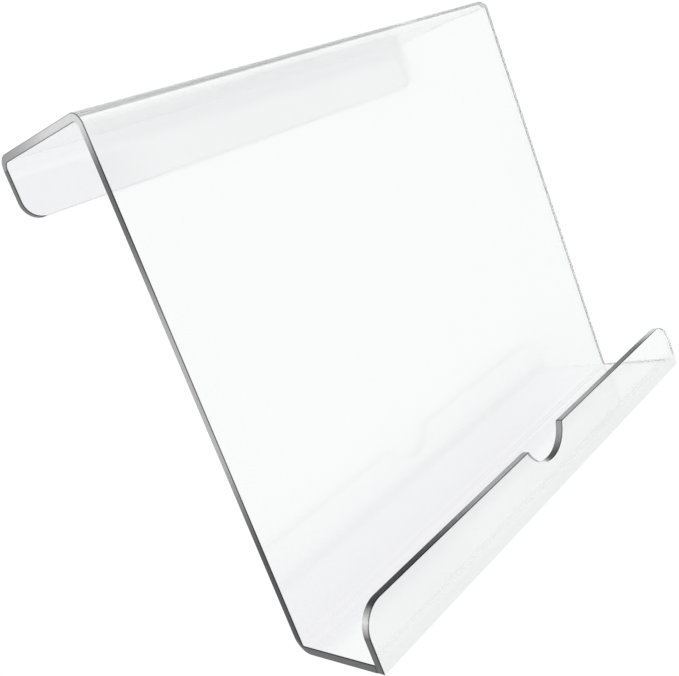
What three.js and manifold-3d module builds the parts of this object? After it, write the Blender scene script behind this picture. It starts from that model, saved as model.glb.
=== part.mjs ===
// A clear acrylic book stand, made of two pieces. The bent sheet is the ledge, the reading
// panel, the shelf behind the panel's top and the short leg that turns down from the shelf.
// The front lip is a flat strip cemented upright to the ledge's front edge.
//
// Millimetres, +Z up. The stand rests on a table on the outside of the fold between ledge
// and panel and on the leg's lower edge. X runs across the width, Y away from the reader,
// and the origin is on the table, under the middle of the stand.
import * as THREE from 'three';
import { mergeVertices } from 'three/addons/utils/BufferGeometryUtils.js';
import Module from 'manifold-3d';

// Driving dimensions
const WIDTH = 304.8; // across the stand
const SHEET = 4; // thickness of both pieces
const PANEL_LENGTH = 254; // ledge's upper face to the shelf's upper face
const SHELF_DEPTH = 82.55; // panel's front face to the leg's back face
const LEG_LENGTH = 33; // shelf's upper face to the leg's lower edge
const LEDGE_DEPTH = 46; // panel's front face to the lip's back face
const LIP_HEIGHT = 25.4; // ledge's upper face to the lip's top edge
const CEMENT_GAP = 0.3; // joint line between ledge and lip
const BEND_INSIDE = 3; // inside radius of the ridge and of the rear bend
const FOLD_INSIDE = 0.8; // the fold between ledge and panel is creased inside
const FOLD_OUTSIDE = 8; // and thinned to a wide round outside
const LIP_CORNER = 13; // radius of the lip's two top corners
const LEG_CORNER = 10; // radius of the leg's two lower corners
const NOTCH_WIDTH = 34; // finger notch in the middle of the lip's top edge
const NOTCH_DEPTH = 12.5;
const ARC_STEPS = 14; // straight steps in each arc
const LEG_CORNER_STEPS = 5; // fewer on the leg's corners, which carry weight on the table
const CUTTER_MARGIN = 1; // how far a cutter stands outside what it cuts

const BEND_OUTSIDE = BEND_INSIDE + SHEET;
const HALF_WIDTH = WIDTH / 2;
const HALF_TURN = Math.PI;
const QUARTER_TURN = Math.PI / 2;

const wasm = await Module();
wasm.setup();

// A closed geometry as a solid, its triangles sharing their corner points.
function toSolid(geometry) {
  const bare = geometry.clone();
  bare.deleteAttribute('normal');
  bare.deleteAttribute('uv');
  const merged = mergeVertices(bare);
  return new wasm.Manifold(new wasm.Mesh({
    numProp: 3,
    vertProperties: new Float32Array(merged.attributes.position.array),
    triVerts: new Uint32Array(merged.index.array),
  }));
}

function toGeometry(solid) {
  const mesh = solid.getMesh();
  const geometry = new THREE.BufferGeometry();
  geometry.setAttribute('position', new THREE.BufferAttribute(mesh.vertProperties, 3));
  geometry.setIndex(new THREE.BufferAttribute(mesh.triVerts, 1));
  geometry.computeVertexNormals();
  return geometry;
}

function extrude(shape, depth, curveSegments = ARC_STEPS) {
  return new THREE.ExtrudeGeometry(shape, {
    depth,
    bevelEnabled: false,
    curveSegments,
  });
}

// A quarter circle about (x, y). Its two ends are angles counted in quarter turns, and the
// outline so far is joined to it by a straight line.
function quarter(shape, x, y, radius, from, to) {
  shape.absarc(x, y, radius, from * QUARTER_TURN, to * QUARTER_TURN, to < from);
}

// The sheet's section, seen along the width: x runs from the reader to the back, y up along
// the panel, and (0, 0) is the inside corner of the fold. The outline goes along the ledge's
// upper face, up the panel's front, over the shelf, down the leg and back on the other side.
function sheetSection() {
  const ledgeFront = CEMENT_GAP - LEDGE_DEPTH;
  const legEnd = PANEL_LENGTH - LEG_LENGTH;
  const legFront = SHELF_DEPTH - SHEET;
  const shelfUnder = PANEL_LENGTH - SHEET;
  const section = new THREE.Shape();
  section.moveTo(ledgeFront, -SHEET);
  section.lineTo(ledgeFront, 0);
  quarter(section, -FOLD_INSIDE, FOLD_INSIDE, FOLD_INSIDE, -1, 0);
  quarter(section, BEND_OUTSIDE, PANEL_LENGTH - BEND_OUTSIDE, BEND_OUTSIDE, 2, 1);
  quarter(section, SHELF_DEPTH - BEND_OUTSIDE, PANEL_LENGTH - BEND_OUTSIDE, BEND_OUTSIDE, 1, 0);
  section.lineTo(SHELF_DEPTH, legEnd);
  section.lineTo(legFront, legEnd);
  quarter(section, legFront - BEND_INSIDE, shelfUnder - BEND_INSIDE, BEND_INSIDE, 0, 1);
  quarter(section, SHEET + BEND_INSIDE, shelfUnder - BEND_INSIDE, BEND_INSIDE, 1, 2);
  quarter(section, SHEET - FOLD_OUTSIDE, FOLD_OUTSIDE - SHEET, FOLD_OUTSIDE, 0, -1);
  section.closePath();
  return section;
}

// What is cut off to round the leg's corner at (0, 0), with the leg to the right and above.
function cornerWaste() {
  const waste = new THREE.Shape();
  waste.moveTo(-CUTTER_MARGIN, LEG_CORNER);
  waste.lineTo(-CUTTER_MARGIN, -CUTTER_MARGIN);
  waste.lineTo(LEG_CORNER, -CUTTER_MARGIN);
  quarter(waste, LEG_CORNER, LEG_CORNER, LEG_CORNER, 3, 2);
  waste.closePath();
  return waste;
}

// Both corner cutters in the stand's own frame: x across the width, y to the back, z up
// along the panel. The right one is the left one turned half a turn about the leg's middle.
function legCornerCutters() {
  const depth = SHEET + 2 * CUTTER_MARGIN;
  return [0, HALF_TURN].map((turn) => {
    const cutter = extrude(cornerWaste(), depth, LEG_CORNER_STEPS);
    cutter.rotateX(QUARTER_TURN);
    cutter.translate(-HALF_WIDTH, depth / 2, 0);
    cutter.rotateZ(turn);
    cutter.translate(0, SHELF_DEPTH - SHEET / 2, PANEL_LENGTH - LEG_LENGTH);
    return toSolid(cutter);
  });
}

function bentSheet() {
  const sheet = extrude(sheetSection(), WIDTH);
  sheet.applyMatrix4(new THREE.Matrix4().makeBasis(
    new THREE.Vector3(0, 1, 0),
    new THREE.Vector3(0, 0, 1),
    new THREE.Vector3(1, 0, 0),
  ));
  sheet.translate(-HALF_WIDTH, 0, 0);
  const [left, right] = legCornerCutters();
  return toGeometry(toSolid(sheet).subtract(left).subtract(right));
}

// The lip's outline, seen from the front: x across the width and y up along the lip, from
// the ledge's upper face. The notch is an arc through its two ends and its lowest point.
function lipOutline() {
  const halfNotch = NOTCH_WIDTH / 2;
  const notchRadius = (halfNotch ** 2 + NOTCH_DEPTH ** 2) / (2 * NOTCH_DEPTH);
  const notchEnd = Math.atan2(NOTCH_DEPTH - notchRadius, halfNotch);
  const cornerX = HALF_WIDTH - LIP_CORNER;
  const cornerY = LIP_HEIGHT - LIP_CORNER;
  const outline = new THREE.Shape();
  outline.moveTo(-HALF_WIDTH, -SHEET);
  outline.lineTo(HALF_WIDTH, -SHEET);
  quarter(outline, cornerX, cornerY, LIP_CORNER, 0, 1);
  outline.absarc(
    0,
    LIP_HEIGHT - NOTCH_DEPTH + notchRadius,
    notchRadius,
    notchEnd,
    -HALF_TURN - notchEnd,
    true,
  );
  quarter(outline, -cornerX, cornerY, LIP_CORNER, 1, 2);
  outline.closePath();
  return outline;
}

function frontLip() {
  const lip = extrude(lipOutline(), SHEET);
  lip.rotateX(QUARTER_TURN);
  return lip;
}

function clearAcrylic() {
  return new THREE.MeshStandardMaterial({
    color: 0xf4f7f7,
    roughness: 0.05,
    metalness: 0,
    transparent: true,
    opacity: 0.35,
  });
}

// The angle between panel and table when the table touches both the round outside of the
// fold and the back of the leg's lower edge.
function restingSlope() {
  const foldCentre = FOLD_OUTSIDE - SHEET;
  const reach = SHELF_DEPTH + foldCentre;
  const rise = PANEL_LENGTH - LEG_LENGTH - foldCentre;
  return Math.atan2(reach, rise) - Math.asin(FOLD_OUTSIDE / Math.hypot(reach, rise));
}

const sheet = new THREE.Mesh(bentSheet(), clearAcrylic());
sheet.name = 'bent_sheet';

const lip = new THREE.Mesh(frontLip(), clearAcrylic());
lip.name = 'front_lip';
lip.position.y = -LEDGE_DEPTH;

const stand = new THREE.Group();
stand.add(sheet, lip);
stand.rotation.x = restingSlope() - QUARTER_TURN;

const bounds = new THREE.Box3().setFromObject(stand, true);
stand.position.y = -(bounds.min.y + bounds.max.y) / 2;
stand.position.z = -bounds.min.z;

const part = new THREE.Group();
part.add(stand);

export default part;
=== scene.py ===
import math

import bpy
from mathutils import Matrix, Vector


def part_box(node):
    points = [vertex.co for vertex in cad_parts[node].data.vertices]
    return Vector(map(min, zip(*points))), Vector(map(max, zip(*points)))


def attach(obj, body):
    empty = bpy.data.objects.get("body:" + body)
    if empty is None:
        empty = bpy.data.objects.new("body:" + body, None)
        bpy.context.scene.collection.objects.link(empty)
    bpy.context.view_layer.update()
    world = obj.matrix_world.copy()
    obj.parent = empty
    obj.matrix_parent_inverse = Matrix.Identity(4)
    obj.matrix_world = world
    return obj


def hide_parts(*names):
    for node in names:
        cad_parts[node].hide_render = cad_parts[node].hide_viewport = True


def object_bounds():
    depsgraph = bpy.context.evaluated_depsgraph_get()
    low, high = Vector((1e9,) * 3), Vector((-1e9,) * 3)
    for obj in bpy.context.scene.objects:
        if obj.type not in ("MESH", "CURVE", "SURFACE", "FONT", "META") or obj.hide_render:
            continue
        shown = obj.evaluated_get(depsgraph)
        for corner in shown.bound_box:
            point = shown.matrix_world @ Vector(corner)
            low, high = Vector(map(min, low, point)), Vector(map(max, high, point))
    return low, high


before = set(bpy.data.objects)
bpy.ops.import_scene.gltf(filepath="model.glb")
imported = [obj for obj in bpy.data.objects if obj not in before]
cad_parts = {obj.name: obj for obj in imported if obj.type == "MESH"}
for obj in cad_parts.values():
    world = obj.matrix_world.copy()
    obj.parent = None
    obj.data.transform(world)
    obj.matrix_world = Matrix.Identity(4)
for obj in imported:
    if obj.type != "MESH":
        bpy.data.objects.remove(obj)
cad_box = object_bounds()

MM = 0.001

# The stand's driving dimensions, as in the CAD
WIDTH = 304.8 * MM
SHEET = 4 * MM
PANEL_LENGTH = 254 * MM
SHELF_DEPTH = 82.55 * MM
LEG_LENGTH = 33 * MM
LEDGE_DEPTH = 46 * MM
LIP_HEIGHT = 25.4 * MM
BEND_INSIDE = 3 * MM
FOLD_INSIDE = 0.8 * MM
FOLD_OUTSIDE = 8 * MM
LIP_CORNER = 13 * MM
LEG_CORNER = 10 * MM
NOTCH_WIDTH = 34 * MM
NOTCH_DEPTH = 12.5 * MM

# What only the visual meshes have
EDGE_ROUND = 0.5 * MM  # small round along every cut edge
JOINT_ROUND = 0.12 * MM  # the ledge's front edge is left nearly square for the cement
JOINT_LINE = 0.03 * MM  # the thin line of cement between ledge and lip
SMALL_CORNER = 0.9 * MM  # plan radius of a corner that looks square
NOTCH_CORNER = 1.6 * MM  # where the notch runs into the lip's top edge
ROUND_STEPS = 5  # steps in the round of a cut edge
BEND_STEPS = 28  # steps in each bend
CORNER_STEPS = 24  # steps in a large plan corner
SMALL_CORNER_STEPS = 6
NOTCH_STEPS = 48
FLAT_STEP = 6 * MM  # longest step along a straight edge

BEND_OUTSIDE = BEND_INSIDE + SHEET
HALF_WIDTH = WIDTH / 2


# ---------------------------------------------------------------- the stand's own frame

def resting_slope():
    """The angle between panel and table, from the CAD's two contacts with the table."""
    fold_centre = FOLD_OUTSIDE - SHEET
    reach = SHELF_DEPTH + fold_centre
    rise = PANEL_LENGTH - LEG_LENGTH - fold_centre
    return math.atan2(reach, rise) - math.asin(FOLD_OUTSIDE / math.hypot(reach, rise))


SLOPE = resting_slope()
BACK = Vector((0, math.sin(SLOPE), -math.cos(SLOPE)))  # the u direction
UP = Vector((0, math.cos(SLOPE), math.sin(SLOPE)))  # the v direction
ACROSS = Vector((1, 0, 0))


def along(x, u, v):
    return ACROSS * x + BACK * u + UP * v


# The lip's lowest y and highest z are corners of its section, so they place the frame.
lip_low, lip_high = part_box("front_lip")
ORIGIN = Vector((
    0,
    lip_low.y - along(0, -LEDGE_DEPTH - SHEET, -SHEET).y,
    lip_high.z - along(0, -LEDGE_DEPTH - SHEET, LIP_HEIGHT).z,
))


def place(x, u, v):
    """A point of the stand's own frame in the row frame."""
    return ORIGIN + along(x, u, v)


# ---------------------------------------------------------------- camera

CAMERA_AT = (-341.5 * MM, -313 * MM, 205.9 * MM)
CAMERA_AIM = (-66.7 * MM, 0, 133.9 * MM)
CAMERA_ROLL = math.radians(21.1)
SENSOR = 36
LENS = 45.7
SHIFT_X = 0.0243
SHIFT_Y = -0.0515


def make_camera():
    data = bpy.data.cameras.new("camera")
    data.sensor_width = SENSOR
    data.lens = LENS
    data.shift_x = SHIFT_X
    data.shift_y = SHIFT_Y
    data.clip_start = 0.01
    data.clip_end = 100
    camera = bpy.data.objects.new("camera", data)
    bpy.context.scene.collection.objects.link(camera)
    forward = (place(*CAMERA_AIM) - place(*CAMERA_AT)).normalized()
    right = forward.cross(UP).normalized()
    up = right.cross(forward)
    turn = Matrix.Rotation(CAMERA_ROLL, 3, forward)
    right, up = turn @ right, turn @ up
    basis = Matrix((right, up, -forward)).transposed().to_4x4()
    camera.matrix_world = Matrix.Translation(place(*CAMERA_AT)) @ basis
    bpy.context.scene.camera = camera


make_camera()


# ---------------------------------------------------------------- cut edges: satin grey with painted light and shade

# The cut edges are sawn and lightly polished: not clear like the faces, but satin grey. That
# grey drifts softly between darker and lighter, which is painted light and shade. The greys are
# display values from 0 to 1: a few broad steps, simplified from greys measured on the
# photograph's edges. So the left end is painted darker than the right. Places are in millimetres.
END_DARK, END_MID, END_LIGHT = 0.3, 0.4, 0.7
PANEL_END_TONES = ((40, END_DARK), (100, END_LIGHT), (150, END_LIGHT), (210, END_MID))  # by v
RIDGE_TONE = 0.85  # painted highlight: the end is lightest at the ridge
SHELF_END_TONES = ((20, RIDGE_TONE), (80, 0.6))  # by u
LEG_END_TONE = 0.45
FAR_END_TONE = 0.8
FAR_LEG_TONE = 0.97
LIP_TOP_TONES = ((-120, 0.25), (-50, END_LIGHT), (50, END_LIGHT), (110, END_MID), (140, 0.9))  # by x
CORNER_PAINTED_HIGHLIGHT = 0.9  # painted highlight: the lip's near corner is lightest part of the way round
CORNER_HIGHLIGHT_AT = math.radians(35)
CORNER_HIGHLIGHT_REACH = math.radians(30)
CORNER_HIGHLIGHT_POWER = 0.6
NOTCH_TONES = ((-0.9, END_LIGHT), (0, END_DARK), (0.4, 0.95))  # painted light and shade by how far an edge faces right
LEG_LOWER_TONE = 0.97  # the leg's lower edge is nearly white
LEG_TONE_END = math.radians(84)  # how far round the leg's corner its dark end runs

# How opaque an edge is: 1 hides what is behind it and 0 is as clear as the faces
EDGE_COVER = 1.0
JOINT_COVER = 0.0  # the lip's lower edge and the edges in the joint
FAR_COVER = 0.5
FAR_LEG_COVER = 0.12
FAR_CORNER_COVER = 0.12  # the lip's far top corner
COVER_RISE = 3  # how quickly a round turns from clear face to covered edge

# Painted shade: the rounds beside a cut edge are darker than its middle, except on the lightest edges
BORDER_SHADE = 0.52
BORDER_STOPS = ((0.85, BORDER_SHADE), (0.96, 1))  # by the edge's grey
BORDER_POWER = 12

# Where one stretch of an end's grey gives way to the next, in millimetres
RIDGE_STOPS = ((PANEL_LENGTH / MM - 30, 0), (PANEL_LENGTH / MM - 4, 1))  # by v
PANEL_END_DEPTH = 6  # by u, just past the panel's back face
SHELF_END_DEPTH = 7  # below the shelf's upper face
FAR_FADE_FROM, FAR_FADE_LENGTH = 30, 45  # by u, where the far end grows clear

# Ways that the lip's edge can face, as the x part of its outward direction
FACES_RIGHT = 0.99
FACES_LEFT = -0.01
TOP_MARGIN = 0.2 * MM  # how far below the top edge the notch's own grey starts


def blend_stops(stops, at):
    """The value at one place of a list of (place, value) pairs, easing between them."""
    if at <= stops[0][0]:
        return stops[0][1]
    for (a, low), (b, high) in zip(stops, stops[1:]):
        if at <= b:
            share = (at - a) / (b - a)
            return low + (high - low) * share * share * (3 - 2 * share)
    return stops[-1][1]


def end_tone(u, v):
    """The near end's grey, painted light and shade, beside a place of the section."""
    u, v = u / MM, v / MM
    if u < 0:
        return END_MID
    if u < PANEL_END_DEPTH:
        tone = blend_stops(PANEL_END_TONES, v)
        return tone + (RIDGE_TONE - tone) * blend_stops(RIDGE_STOPS, v)
    if v > PANEL_LENGTH / MM - SHELF_END_DEPTH:
        return blend_stops(SHELF_END_TONES, u)
    return LEG_END_TONE


def lip_tone(x, v, out_x, out_v):
    """The grey of the lip's cut edge, painted light and shade, at a place, and the way that the edge
    faces there.
    """
    if abs(x) < NOTCH_WIDTH / 2 and v < LIP_HEIGHT - TOP_MARGIN:
        return blend_stops(NOTCH_TONES, out_x)
    if out_x >= FACES_RIGHT:
        return FAR_END_TONE
    if out_x > FACES_LEFT:
        return blend_stops(LIP_TOP_TONES, x / MM)
    # painted shade round the near corner, with a painted highlight part of the way round
    turned_up = math.atan2(out_v, -out_x)
    tone = END_MID + (LIP_TOP_TONES[0][1] - END_MID) * turned_up / math.radians(90)
    painted_highlight = 1 - abs(turned_up - CORNER_HIGHLIGHT_AT) / CORNER_HIGHLIGHT_REACH
    return tone + (CORNER_PAINTED_HIGHLIGHT - tone) * max(0, painted_highlight) ** CORNER_HIGHLIGHT_POWER


def far_end(u):
    """The far end's grey, painted light, and cover beside a place of the section."""
    share = min(1, max(0, (u / MM - FAR_FADE_FROM) / FAR_FADE_LENGTH))
    return (
        FAR_END_TONE + (FAR_LEG_TONE - FAR_END_TONE) * share,
        FAR_COVER + (FAR_LEG_COVER - FAR_COVER) * share,
    )


# ---------------------------------------------------------------- sheet meshes

def turned(angle):
    return Vector((math.cos(angle), math.sin(angle)))


def steps(first, last, count):
    """count + 1 values from first to last."""
    return [first + (last - first) * i / count for i in range(count + 1)]


def station(front, front_normal, back, back_normal, outward, radius, tone, cover=EDGE_COVER):
    """One place on a sheet's outline: where its two faces end, the faces' normals, the
    direction out of the cut edge, the radius of the round along it, and the edge's grey
    and cover."""
    return {
        "front": front, "front_normal": front_normal,
        "back": back, "back_normal": back_normal,
        "outward": outward, "radius": radius, "tone": tone, "cover": cover,
    }


def edge_ring(s):
    """The cross-section of the cut edge at a station, from front face to back face, as
    (point, normal, how much it belongs to the cut edge, grey)."""
    border = blend_stops(BORDER_STOPS, s["tone"])
    ring = []
    for side, angles in (
        ("front", steps(0, math.pi / 2, ROUND_STEPS)),
        ("back", steps(math.pi / 2, 0, ROUND_STEPS)),
    ):
        normal = s[side + "_normal"]
        for angle in angles:
            point = (
                s[side]
                - s["outward"] * s["radius"] * (1 - math.sin(angle))
                - normal * s["radius"] * (1 - math.cos(angle))
            )
            ring.append((
                point,
                normal * math.cos(angle) + s["outward"] * math.sin(angle),
                s["cover"] * min(1, COVER_RISE * math.sin(angle)),
                s["tone"] * (border + (1 - border) * math.sin(angle) ** BORDER_POWER),
            ))
    return ring


def sheet_mesh(name, chain_a, chain_b):
    """A closed sheet between two chains of stations of equal length. Its faces are lofted
    from chain to chain, and the cut edge runs round both chains."""
    outline = chain_a + chain_b[::-1]
    rings = [edge_ring(s) for s in outline]
    across = len(rings[0])
    points = [p for ring in rings for p, _, _, _ in ring]
    normals = [n.normalized() for ring in rings for _, n, _, _ in ring]
    count = len(outline)
    faces = []
    for i in range(count):
        j = (i + 1) % count
        for k in range(across - 1):
            faces.append((i * across + k, i * across + k + 1, j * across + k + 1, j * across + k))
    for i in range(len(chain_a) - 1):
        a, b = i, i + 1
        c, d = count - 2 - i, count - 1 - i
        faces.append(tuple(s * across for s in (a, b, c, d)))
        faces.append(tuple(s * across + across - 1 for s in (d, c, b, a)))
    mesh = bpy.data.meshes.new(name)
    mesh.from_pydata([tuple(p) for p in points], [], faces)
    for polygon in mesh.polygons:
        polygon.use_smooth = True
    mesh.normals_split_custom_set_from_vertices([tuple(n) for n in normals])
    for key, values in (
        ("edge_cover", [c for ring in rings for _, _, c, _ in ring]),
        ("edge_grey_and_painted_shade", [g for ring in rings for _, _, _, g in ring]),
    ):
        attribute = mesh.attributes.new(key, "FLOAT", "POINT")
        attribute.data.foreach_set("value", values)
    mesh.validate()
    mesh.update()
    piece = bpy.data.objects.new(name, mesh)
    bpy.context.scene.collection.objects.link(piece)
    return piece


def bend_rows(front_centre, front_radius, back_centre, back_radius, first, last, convex):
    """Rows round one bend, between two angles in quarter turns of the (u, v) plane. convex
    is 1 where the front face is the outside of the bend and -1 where it is the inside."""
    rows = []
    for angle in steps(first * math.pi / 2, last * math.pi / 2, BEND_STEPS):
        out = turned(angle)
        rows.append((
            Vector(front_centre) + out * front_radius, out * convex,
            Vector(back_centre) + out * back_radius, out * -convex,
        ))
    return rows


def section_rows():
    """The bent sheet's section as rows of (front, front normal, back, back normal), from
    the ledge's front edge to the leg's lower edge."""
    ledge_front = JOINT_LINE - LEDGE_DEPTH
    rows = [(
        Vector((ledge_front, 0)), Vector((0, 1)),
        Vector((ledge_front, -SHEET)), Vector((0, -1)),
    )]
    fold = SHEET - FOLD_OUTSIDE
    rows += bend_rows(
        (-FOLD_INSIDE, FOLD_INSIDE), FOLD_INSIDE, (fold, -fold), FOLD_OUTSIDE, -1, 0, -1)
    ridge = (BEND_OUTSIDE, PANEL_LENGTH - BEND_OUTSIDE)
    rows += bend_rows(ridge, BEND_OUTSIDE, ridge, BEND_INSIDE, 2, 1, 1)
    rear = (SHELF_DEPTH - BEND_OUTSIDE, PANEL_LENGTH - BEND_OUTSIDE)
    rows += bend_rows(rear, BEND_OUTSIDE, rear, BEND_INSIDE, 1, 0, 1)
    leg_start = PANEL_LENGTH - LEG_LENGTH + LEG_CORNER
    rows.append((
        Vector((SHELF_DEPTH, leg_start)), Vector((1, 0)),
        Vector((SHELF_DEPTH - SHEET, leg_start)), Vector((-1, 0)),
    ))
    return with_flat_steps(rows)


def with_flat_steps(rows):
    """The same rows with more between them wherever two are far apart."""
    filled = [rows[0]]
    for row in rows[1:]:
        last = filled[-1]
        count = math.ceil((row[0] - last[0]).length / FLAT_STEP)
        for i in range(1, count):
            share = i / count
            filled.append((
                last[0].lerp(row[0], share), row[1], last[2].lerp(row[2], share), row[3]))
        filled.append(row)
    return filled


def lifted(flat):
    """A (u, v) direction as a direction of the row frame."""
    return along(0, flat.x, flat.y)


def sheet_station(row, x, outward, radius, tone, cover=EDGE_COVER):
    front, front_normal, back, back_normal = row
    return station(
        place(x, front.x, front.y), lifted(front_normal),
        place(x, back.x, back.y), lifted(back_normal),
        outward, radius, tone, cover,
    )


def bent_sheet():
    rows = section_rows()
    sides = []
    for side in (-1, 1):
        chain = []
        # the ledge's front corner, from its front edge round to its cut end
        front_row = rows[0]
        for angle in steps(0, math.pi / 2, SMALL_CORNER_STEPS):
            share = angle / (math.pi / 2)
            inward = SMALL_CORNER * (1 - math.cos(angle))
            row = tuple(
                Vector((p.x + inward, p.y)) if i in (0, 2) else p
                for i, p in enumerate(front_row)
            )
            x = side * (HALF_WIDTH - SMALL_CORNER * (1 - math.sin(angle)))
            outward = -BACK * math.cos(angle) + ACROSS * side * math.sin(angle)
            radius = JOINT_ROUND + (EDGE_ROUND - JOINT_ROUND) * share
            # painted shade at the near end, painted light at the far end
            tone = END_MID if side < 0 else FAR_END_TONE
            end_cover = EDGE_COVER if side < 0 else FAR_COVER
            cover = end_cover if share > 0.1 else JOINT_COVER
            chain.append(sheet_station(row, x, outward, radius, tone, cover))
        # the long cut end over all three bends
        for row in rows[1:-1]:
            # painted light and shade: the near end is darker than the far end
            tone, cover = far_end(row[0].x)
            if side < 0:
                tone, cover = end_tone(row[0].x, row[0].y), EDGE_COVER
            chain.append(sheet_station(
                row, side * HALF_WIDTH, ACROSS * side, EDGE_ROUND, tone, cover))
        # the leg's rounded lower corner
        last = rows[-1]
        leg_end = PANEL_LENGTH - LEG_LENGTH
        for angle in steps(0, math.pi / 2, CORNER_STEPS):
            v = leg_end + LEG_CORNER * (1 - math.sin(angle))
            row = (Vector((SHELF_DEPTH, v)), last[1], Vector((SHELF_DEPTH - SHEET, v)), last[3])
            x = side * (HALF_WIDTH - LEG_CORNER * (1 - math.cos(angle)))
            outward = ACROSS * side * math.cos(angle) - UP * math.sin(angle)
            near = end_tone(SHELF_DEPTH, v) if side < 0 else FAR_LEG_TONE
            tone = LEG_LOWER_TONE if angle > LEG_TONE_END else near
            cover = EDGE_COVER if side < 0 or angle > LEG_TONE_END else FAR_LEG_COVER
            chain.append(sheet_station(row, x, outward, EDGE_ROUND, tone, cover))
        sides.append(chain)
    return sheet_mesh("acrylic_bent_sheet", sides[1], sides[0])


def with_top_steps(profile):
    """The same outline with more points along the straight stretches of the lip's top."""
    filled = [profile[0]]
    for after in profile[1:]:
        before = filled[-1]
        count = math.ceil((after[0] - before[0]) / FLAT_STEP)
        for i in range(1, count):
            filled.append((before[0] + (after[0] - before[0]) * i / count, after[1], 0, 1))
        filled.append(after)
    return filled


def lip_top():
    """The lip's top outline from left to right as (x, v, outward x, outward v)."""
    half = NOTCH_WIDTH / 2
    radius = (half ** 2 + NOTCH_DEPTH ** 2) / (2 * NOTCH_DEPTH)
    centre_v = LIP_HEIGHT - NOTCH_DEPTH + radius
    # a small convex round between top edge and notch touches both
    small_v = LIP_HEIGHT - NOTCH_CORNER
    small_x = math.sqrt((radius + NOTCH_CORNER) ** 2 - (centre_v - small_v) ** 2)
    tilt = math.atan2(centre_v - small_v, small_x)  # below the level line from the centre
    profile = []
    for angle in steps(math.pi, math.pi / 2, CORNER_STEPS):
        out = turned(angle)
        profile.append((
            -HALF_WIDTH + LIP_CORNER + LIP_CORNER * out.x,
            LIP_HEIGHT - LIP_CORNER + LIP_CORNER * out.y, out.x, out.y,
        ))
    for angle in steps(math.pi / 2, tilt, SMALL_CORNER_STEPS):
        out = turned(angle)
        profile.append((
            -small_x + NOTCH_CORNER * out.x, small_v + NOTCH_CORNER * out.y, out.x, out.y))
    first = math.pi + tilt
    for angle in steps(first, 3 * math.pi - first, NOTCH_STEPS):
        out = turned(angle)
        profile.append((radius * out.x, centre_v + radius * out.y, -out.x, -out.y))
    left = profile[:CORNER_STEPS + SMALL_CORNER_STEPS + 2]
    profile += [(-x, v, -ox, ov) for x, v, ox, ov in left[::-1]]
    return with_top_steps(profile)


def front_lip():
    top = lip_top()

    def lip_station(x, v, out_x, out_v):
        # the edge's grey is painted light and shade, darker at the near end
        cover = EDGE_COVER
        if v > 0:
            tone = lip_tone(x, v, out_x, out_v)
            if x > HALF_WIDTH - LIP_CORNER:
                cover += (FAR_CORNER_COVER - cover) * out_x
        else:
            tone = END_MID if x < 0 else FAR_END_TONE
            end_cover = EDGE_COVER if x < 0 else FAR_COVER
            cover = JOINT_COVER + (end_cover - JOINT_COVER) * min(1, 2 * abs(out_x))
        return station(
            place(x, -LEDGE_DEPTH - SHEET, v), -BACK,
            place(x, -LEDGE_DEPTH, v), BACK,
            ACROSS * out_x + UP * out_v, EDGE_ROUND, tone, cover,
        )

    last = len(top) - 1
    bottom = []
    for i, (x, _, _, _) in enumerate(top):
        near = min(i, last - i)
        side = -1 if i * 2 < last else 1
        if near <= SMALL_CORNER_STEPS:
            angle = math.pi / 2 * near / SMALL_CORNER_STEPS
            bottom.append((
                side * (HALF_WIDTH - SMALL_CORNER * (1 - math.cos(angle))),
                -SHEET + SMALL_CORNER * (1 - math.sin(angle)),
                side * math.cos(angle), -math.sin(angle),
            ))
        else:
            bottom.append((x, -SHEET, 0, -1))
    return sheet_mesh(
        "acrylic_front_lip",
        [lip_station(*s) for s in bottom],
        [lip_station(*s) for s in top],
    )


# ---------------------------------------------------------------- clear acrylic

FACE_TINT = (0.941, 0.956, 0.951)
# the grey of the painted shade beside the bends
PAINTED_SHADE_TINT = (0.875, 0.875, 0.887)
ACRYLIC_IOR = 1.49
ABSORPTION_COLOUR = (0.80, 0.815, 0.82, 1)
ABSORPTION_DENSITY = 1.5
# painted light on the lip's foot: its milky white
PAINTED_FOOT_LIGHT = (0.90, 0.905, 0.905, 1)
EDGE_ROUGHNESS = 0.25
EDGE_GLOSS = 0.25
GLOSS_SHARE = 0.025  # light that an edge's gloss adds to its own grey
DISPLAY_GAMMA = 2.2
DARKEST_GREY = 0.004
SAW_SCALE = 900
SAW_SHADE = (0.95, 1.05)
WIPE_SCALE = 14
POLISH = (0.07, 0.13)  # roughness of the faces

# The painted shade beside the bends: how far each patch reaches and how strong it is
FOLD_PAINTED_SHADE_REACH, FOLD_PAINTED_SHADE = 75 * MM, 1
LEG_PAINTED_SHADE_REACH, LEG_PAINTED_SHADE = 60 * MM, 1.3
BEND_PAINTED_SHADE_REACH, BEND_PAINTED_SHADE = 15 * MM, 0.9
FAR_FOLD_SHARE = 0.4  # what is left of the fold's painted shade at the far end
FAR_LEG_SHARE = 0.15  # and of the leg's

PAINTED_FOOT_LIGHT_SHARE = 0.94
PAINTED_FOOT_LIGHT_FROM, PAINTED_FOOT_LIGHT_TO = 1 * MM, 8 * MM  # heights over which the painted light on the lip's foot fades out
PAINTED_FOOT_LIGHT_FADE = 0.5 * MM  # on either side of the lip's middle


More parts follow.
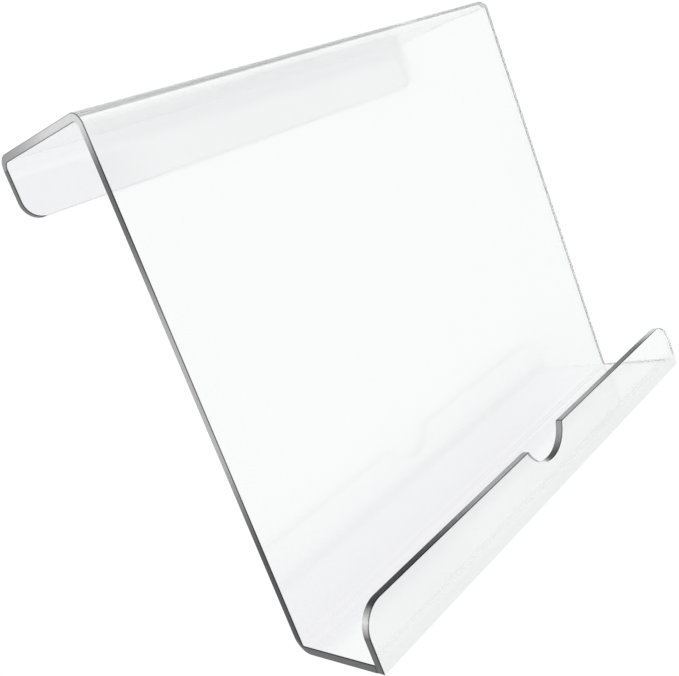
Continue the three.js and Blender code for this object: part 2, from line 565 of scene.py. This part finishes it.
class Nodes:
    """Short ways to add the nodes that this script's materials are made of."""

    def __init__(self, tree):
        self.tree = tree
        tree.nodes.clear()

    def add(self, kind, inputs=None, **settings):
        node = self.tree.nodes.new(kind)
        for key, value in settings.items():
            setattr(node, key, value)
        for key, value in (inputs or {}).items():
            self.put(node.inputs[key], value)
        return node

    def put(self, socket, value):
        if isinstance(value, bpy.types.NodeSocket):
            self.tree.links.new(value, socket)
        else:
            socket.default_value = value

    def maths(self, operation, a, b=0.0):
        return self.add("ShaderNodeMath", {0: a, 1: b}, operation=operation).outputs[0]

    def dot(self, vector, axis):
        node = self.add("ShaderNodeVectorMath", {0: vector, 1: tuple(axis)}, operation="DOT_PRODUCT")
        return node.outputs["Value"]

    def smooth(self, value, low, high, at_low, at_high):
        node = self.add("ShaderNodeMapRange", {
            "Value": value, "From Min": low, "From Max": high,
            "To Min": at_low, "To Max": at_high,
        }, interpolation_type="SMOOTHSTEP")
        return node.outputs["Result"]

    def mix(self, share, a, b):
        node = self.add("ShaderNodeMix", data_type="RGBA")
        colours = [i for i in node.inputs if i.type == "RGBA"]
        self.put(node.inputs[0], share)
        self.put(colours[0], a)
        self.put(colours[1], b)
        return [o for o in node.outputs if o.type == "RGBA"][0]


def clear_acrylic():
    material = bpy.data.materials.new("clear_acrylic")
    material.use_nodes = True
    n = Nodes(material.node_tree)
    here = n.add("ShaderNodeTexCoord").outputs["Object"]
    u = n.maths("SUBTRACT", n.dot(here, BACK), ORIGIN.dot(BACK))
    v = n.maths("SUBTRACT", n.dot(here, UP), ORIGIN.dot(UP))

    def near_bend(at_u, at_v, reach, strength):
        du = n.maths("SUBTRACT", u, at_u)
        dv = n.maths("SUBTRACT", v, at_v)
        far = n.maths("SQRT", n.maths("ADD", n.maths("MULTIPLY", du, du), n.maths("MULTIPLY", dv, dv)))
        return n.smooth(far, 0, reach, strength, 0)

    # painted shade: a soft grey beside the bends stands in for the uneven light on them
    x = n.dot(here, ACROSS)
    fold_painted_shade = n.maths("MULTIPLY", near_bend(0, 0, FOLD_PAINTED_SHADE_REACH, FOLD_PAINTED_SHADE),
                        n.smooth(u, -24 * MM, -10 * MM, 0, 1))
    fold_painted_shade = n.maths("MULTIPLY", fold_painted_shade,
                        n.smooth(x, 30 * MM, 150 * MM, 1, FAR_FOLD_SHARE))
    leg_painted_shade = n.maths("MULTIPLY",
                       near_bend(SHELF_DEPTH, PANEL_LENGTH - 20 * MM, LEG_PAINTED_SHADE_REACH, LEG_PAINTED_SHADE),
                       n.smooth(x, -130 * MM, -60 * MM, 1, FAR_LEG_SHARE))
    leg_painted_shade = n.maths("MULTIPLY", leg_painted_shade,
                       n.smooth(v, PANEL_LENGTH - 16 * MM, PANEL_LENGTH - 6 * MM, 1, 0))
    bend_painted_shade = near_bend(SHELF_DEPTH - 3 * MM, PANEL_LENGTH - 5 * MM, BEND_PAINTED_SHADE_REACH, BEND_PAINTED_SHADE)
    painted_shade = n.maths("MAXIMUM", fold_painted_shade, n.maths("MAXIMUM", leg_painted_shade, bend_painted_shade))
    face = n.mix(painted_shade, (*FACE_TINT, 1), (*PAINTED_SHADE_TINT, 1))

    # the cut edges' grey with its painted light and shade, and how much it covers
    cover = n.add("ShaderNodeAttribute", attribute_name="edge_cover").outputs["Fac"]
    tone = n.add("ShaderNodeAttribute", attribute_name="edge_grey_and_painted_shade").outputs["Fac"]
    # fine saw marks on the cut edges
    marks = n.add("ShaderNodeTexNoise", {"Vector": here, "Scale": SAW_SCALE, "Detail": 2}).outputs["Fac"]
    grey = n.maths("SUBTRACT", n.maths("POWER", tone, DISPLAY_GAMMA), GLOSS_SHARE)
    grey = n.maths("MULTIPLY", grey, n.smooth(marks, 0.3, 0.7, *SAW_SHADE))
    grey = n.maths("MAXIMUM", grey, DARKEST_GREY)
    shade = n.add("ShaderNodeCombineColor", {"Red": grey, "Green": grey, "Blue": grey}).outputs[0]
    colour = n.mix(cover, face, shade)
    # painted light: the front of the lip's foot is painted milky white, fading out upward
    lip_middle = -LEDGE_DEPTH - SHEET / 2
    painted_foot_light = n.maths("MULTIPLY", n.smooth(v, PAINTED_FOOT_LIGHT_FROM, PAINTED_FOOT_LIGHT_TO, PAINTED_FOOT_LIGHT_SHARE, 0),
                   n.smooth(u, lip_middle - PAINTED_FOOT_LIGHT_FADE, lip_middle + PAINTED_FOOT_LIGHT_FADE, 1, 0))
    painted_foot_light = n.maths("MULTIPLY", painted_foot_light, n.maths("SUBTRACT", 1, cover))
    colour = n.mix(painted_foot_light, colour, PAINTED_FOOT_LIGHT)
    cover = n.maths("ADD", cover, painted_foot_light)

    # faint wiping marks on the faces
    wipes = n.add("ShaderNodeTexNoise", {"Vector": here, "Scale": WIPE_SCALE, "Detail": 5}).outputs["Fac"]
    polish = n.smooth(wipes, 0.35, 0.75, *POLISH)
    roughness = n.maths("ADD", polish, n.maths("MULTIPLY", cover, EDGE_ROUGHNESS))

    shader = n.add("ShaderNodeBsdfPrincipled", {
        "Base Color": colour,
        "Roughness": roughness,
        "IOR": ACRYLIC_IOR,
        "Specular IOR Level": EDGE_GLOSS,
        "Transmission Weight": n.maths("SUBTRACT", 1, cover),
    })
    volume = n.add("ShaderNodeVolumeAbsorption", {
        "Color": ABSORPTION_COLOUR, "Density": ABSORPTION_DENSITY,
    })
    n.add("ShaderNodeOutputMaterial", {
        "Surface": shader.outputs["BSDF"], "Volume": volume.outputs["Volume"],
    })
    return material


acrylic = clear_acrylic()
for make, node in ((bent_sheet, "bent_sheet"), (front_lip, "front_lip")):
    piece = make()
    piece.data.materials.append(acrylic)
    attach(piece, "root")
    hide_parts(node)


# ---------------------------------------------------------------- table and light

FLOOR_GLOW = 1.02
FLOOR_SIZE = 12.0
FLOOR_DROP = 0.3 * MM  # how far the table lies below the stand
ROOM_GLOW = 0.97
LIGHT_BOUNCES = 64
DIFFUSE_BOUNCES = 32


def make_floor():
    mesh = bpy.data.meshes.new("table")
    half = FLOOR_SIZE / 2
    level = cad_box[0].z - FLOOR_DROP
    mesh.from_pydata(
        [(-half, -half, level), (half, -half, level), (half, half, level), (-half, half, level)],
        [], [(0, 1, 2, 3)],
    )
    floor = bpy.data.objects.new("table", mesh)
    bpy.context.scene.collection.objects.link(floor)
    material = bpy.data.materials.new("table")
    material.use_nodes = True
    n = Nodes(material.node_tree)
    glow = n.add("ShaderNodeEmission", {"Strength": FLOOR_GLOW})
    n.add("ShaderNodeOutputMaterial", {"Surface": glow.outputs["Emission"]})
    floor.data.materials.append(material)


def make_world():
    """A white tent: as bright as the floor at the horizon and a little dimmer above."""
    world = bpy.data.worlds.new("studio")
    bpy.context.scene.world = world
    world.use_nodes = True
    n = Nodes(world.node_tree)
    towards = n.add("ShaderNodeTexCoord").outputs["Generated"]
    light = n.smooth(n.dot(towards, (0, 0, 1)), 0.10, 0.60, FLOOR_GLOW, ROOM_GLOW)
    background = n.add("ShaderNodeBackground", {"Color": (1, 1, 1, 1), "Strength": light})
    n.add("ShaderNodeOutputWorld", {"Surface": background.outputs["Background"]})


make_floor()
make_world()

scene = bpy.context.scene
scene.view_settings.view_transform = "Standard"
scene.cycles.max_bounces = LIGHT_BOUNCES
scene.cycles.glossy_bounces = LIGHT_BOUNCES
scene.cycles.transmission_bounces = LIGHT_BOUNCES
scene.cycles.diffuse_bounces = DIFFUSE_BOUNCES
scene.cycles.caustics_refractive = True
scene.cycles.caustics_reflective = True
